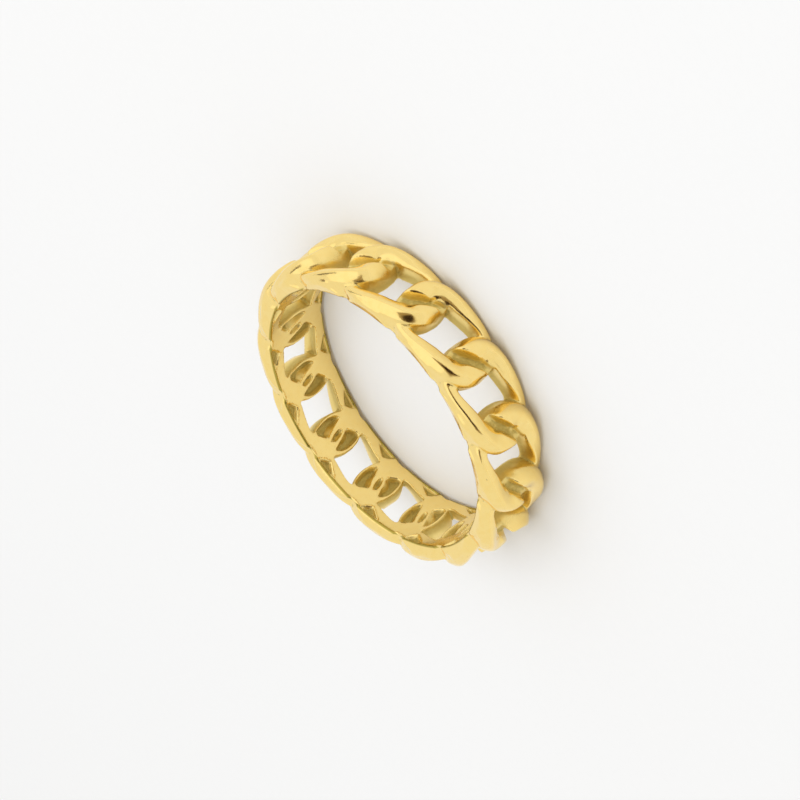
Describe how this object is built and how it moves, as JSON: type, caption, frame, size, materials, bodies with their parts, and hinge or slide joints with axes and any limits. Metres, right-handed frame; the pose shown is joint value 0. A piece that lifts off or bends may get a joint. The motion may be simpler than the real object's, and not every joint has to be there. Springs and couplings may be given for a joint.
{
  "type": "chain link ring",
  "caption": "Cast finger ring whose band is a row of woven curb chain links, smooth on the finger side and pierced by an open window in each link.",
  "frame": {"origin": "centre of the lower edge of the band, on the finger axis, where the ring lies on its side", "axes": "+Z along the finger axis, up when the ring lies on its side; +X through the middle of one link"},
  "size_m": [0.0204, 0.0206, 0.0046],
  "materials": {
    "gold": "polished yellow gold plate, darker and finely rough in the cast recesses"
  },
  "bodies": {
    "root": {"chain_band": "gold"}
  },
  "joints": []
}
